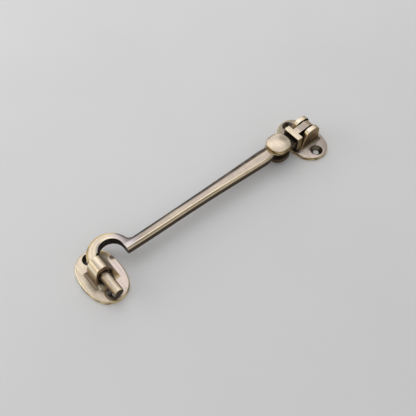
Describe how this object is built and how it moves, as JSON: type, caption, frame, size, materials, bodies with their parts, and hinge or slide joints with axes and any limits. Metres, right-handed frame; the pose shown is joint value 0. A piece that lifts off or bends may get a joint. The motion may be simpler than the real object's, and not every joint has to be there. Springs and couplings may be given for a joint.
{
  "type": "cabin hook",
  "caption": "Antique brass cabin hook: an oval plate with ears carries a lifting, swinging arm whose bent round tip passes through the arched eye of a separate oval staple plate.",
  "frame": {"origin": "centre of the back face of the hook plate, on the surface it is screwed to", "axes": "+X along the closed arm from the hook plate to the staple, +Y the way the tip points through the eye, +Z away from the mounting surface"},
  "size_m": [0.1874, 0.0401, 0.0169],
  "materials": {
    "antique_brass": "brushed antique brass, pale on the faces and dark in the recesses",
    "pin_brass": "dull dark brass"
  },
  "bodies": {
    "hook_plate": {"hook_plate": "antique_brass", "ear_pin": "pin_brass"},
    "knuckle": {"knuckle": "antique_brass"},
    "arm": {"hook_arm": "antique_brass", "fork_pin": "pin_brass"},
    "staple": {"staple_plate": "antique_brass"}
  },
  "joints": [
    {"name": "knuckle_lift", "type": "hinge", "parent": "hook_plate", "child": "knuckle", "pos_m": [-0.0015, 0, 0.0092], "axis": [0, -1, 0], "range_deg": [0, 170]},
    {"name": "arm_swing", "type": "hinge", "parent": "knuckle", "child": "arm", "pos_m": [0.0232, 0, 0.0092], "axis": [0, 0, -1], "range_deg": [0, 90]},
    {"name": "staple_release", "type": "slide", "parent": "knuckle", "child": "staple", "axis": [0, 1, 0], "range_m": [0, 0.028]}
  ]
}
